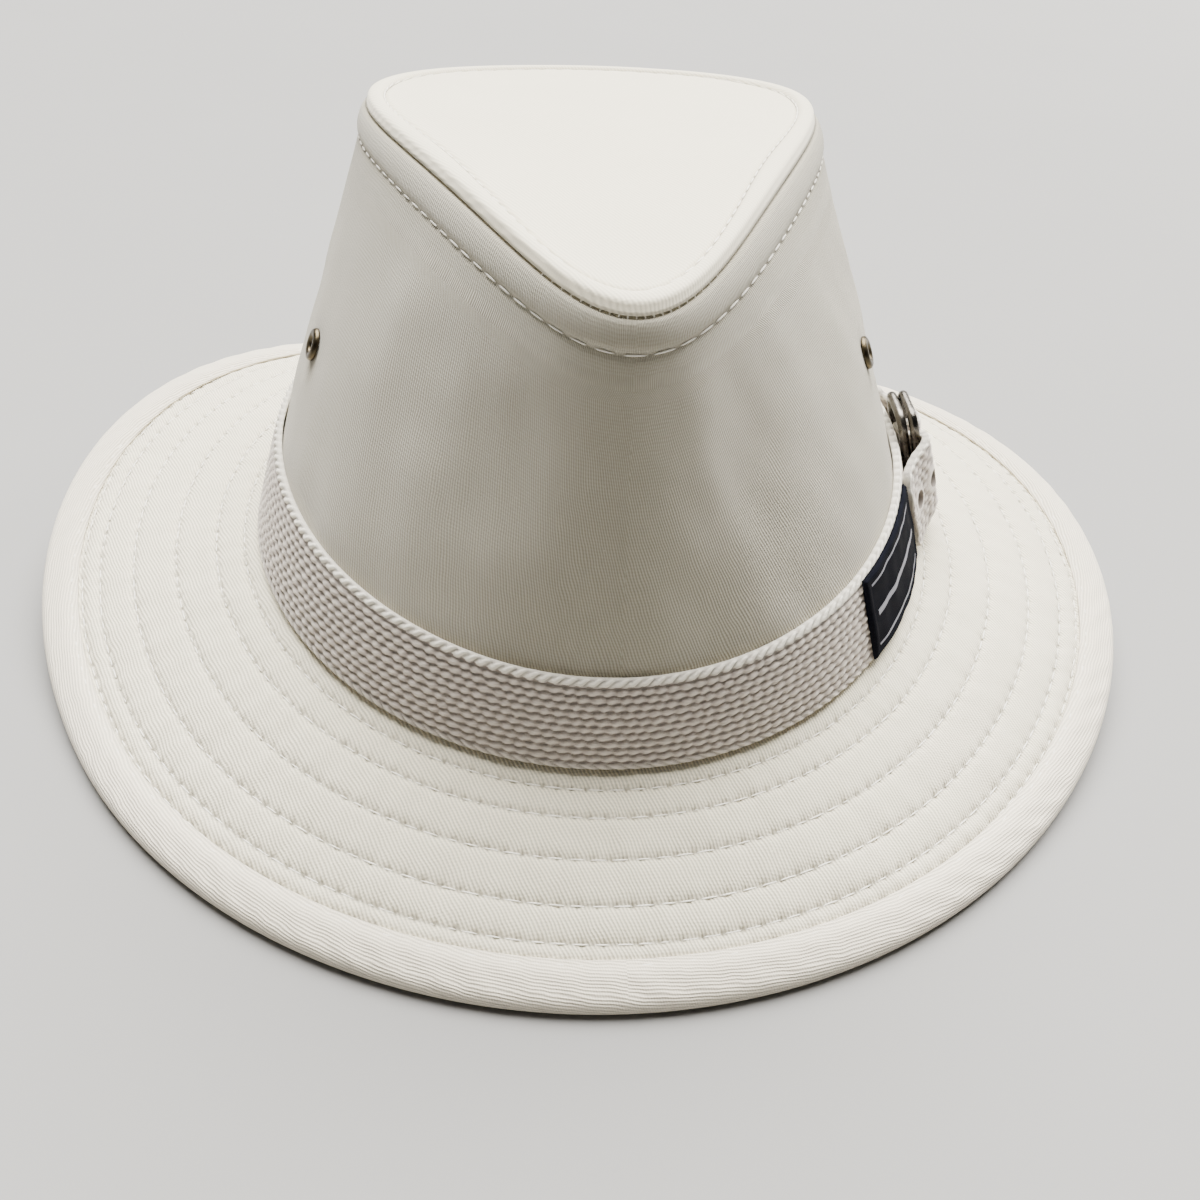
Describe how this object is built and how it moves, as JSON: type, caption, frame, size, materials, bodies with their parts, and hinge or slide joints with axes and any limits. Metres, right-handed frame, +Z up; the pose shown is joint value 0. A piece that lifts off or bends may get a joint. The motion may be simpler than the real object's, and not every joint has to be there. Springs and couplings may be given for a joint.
{
  "type": "safari hat",
  "caption": "Cotton safari hat with a teardrop crown, stitched brim, bound edge and a webbing band closed by two metal rings.",
  "frame": {"origin": "middle of the hat's footprint, on the surface that it rests on", "axes": "the front of the hat faces -Y, +X is the wearer's left, +Z is up"},
  "size_m": [0.2999, 0.2892, 0.1295],
  "materials": {
    "crown_twill": "fine ivory cotton twill",
    "brim_twill": "fine ivory cotton twill, quilted with rows of stitching",
    "binding_twill": "cream twill cut on the bias",
    "webbing": "coarse natural cotton webbing with a cream selvedge",
    "ring_metal": "dark polished gunmetal",
    "label_cloth": "black woven label",
    "eyelet_brass": "dark antique brass"
  },
  "bodies": {
    "root": {"crown_side": "crown_twill", "crown_tip": "crown_twill", "brim": "brim_twill", "brim_binding": "binding_twill", "hat_band": "webbing", "strap_tail": "webbing", "buckle_tab": "webbing", "buckle_ring_inner": "ring_metal", "buckle_ring_outer": "ring_metal", "band_label": "label_cloth", "eyelet_right": "eyelet_brass", "eyelet_left": "eyelet_brass"}
  },
  "joints": []
}
